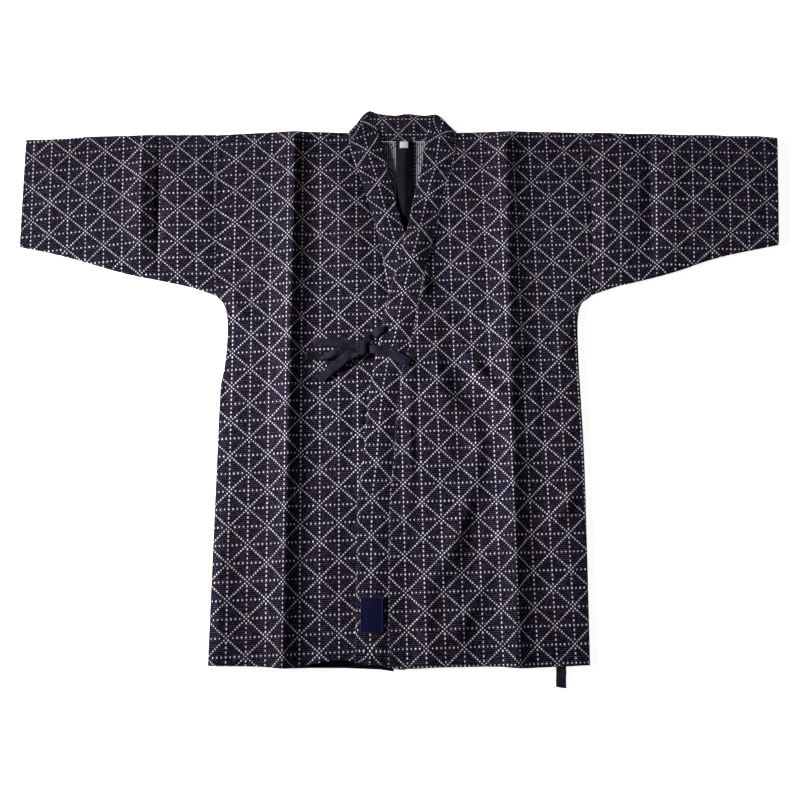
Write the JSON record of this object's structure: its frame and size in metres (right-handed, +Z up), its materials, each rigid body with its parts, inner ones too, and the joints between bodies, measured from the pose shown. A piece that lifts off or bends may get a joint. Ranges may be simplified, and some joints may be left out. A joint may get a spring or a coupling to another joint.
{
  "type": "kendo jacket laid flat",
  "caption": "Kendo jacket of dotted-diamond cotton laid flat, left front over right, closed by a half bow, with straight sleeves and a crossed collar band.",
  "frame": {"origin": "middle of the jacket's box, on the surface that it lies on", "axes": "+X towards the wearer's left sleeve, +Y towards the collar, +Z up"},
  "size_m": [1.226, 0.913, 0.0167],
  "materials": {
    "weave": "matte navy-black cotton woven with off-white dots in crossed diamonds",
    "dark_tape": "soft charcoal-navy cotton tape",
    "blue_label": "satin woven blue label, bare",
    "white_tag": "plain white woven tag, bare"
  },
  "bodies": {
    "root": {"back_right": "weave", "back_left": "weave", "front_right": "weave", "front_left": "weave", "sleeve_right": "weave", "sleeve_left": "weave", "collar_back": "weave", "collar_right": "weave", "collar_left": "weave", "back_tape": "dark_tape", "hem_tape": "dark_tape", "size_tag": "white_tag", "label": "blue_label", "tie_right": "dark_tape", "tie_left": "dark_tape", "tie_tail_low": "dark_tape", "tie_tail_high": "dark_tape", "tie_loop": "dark_tape", "tie_knot": "dark_tape", "inner_tie": "dark_tape"}
  },
  "joints": []
}
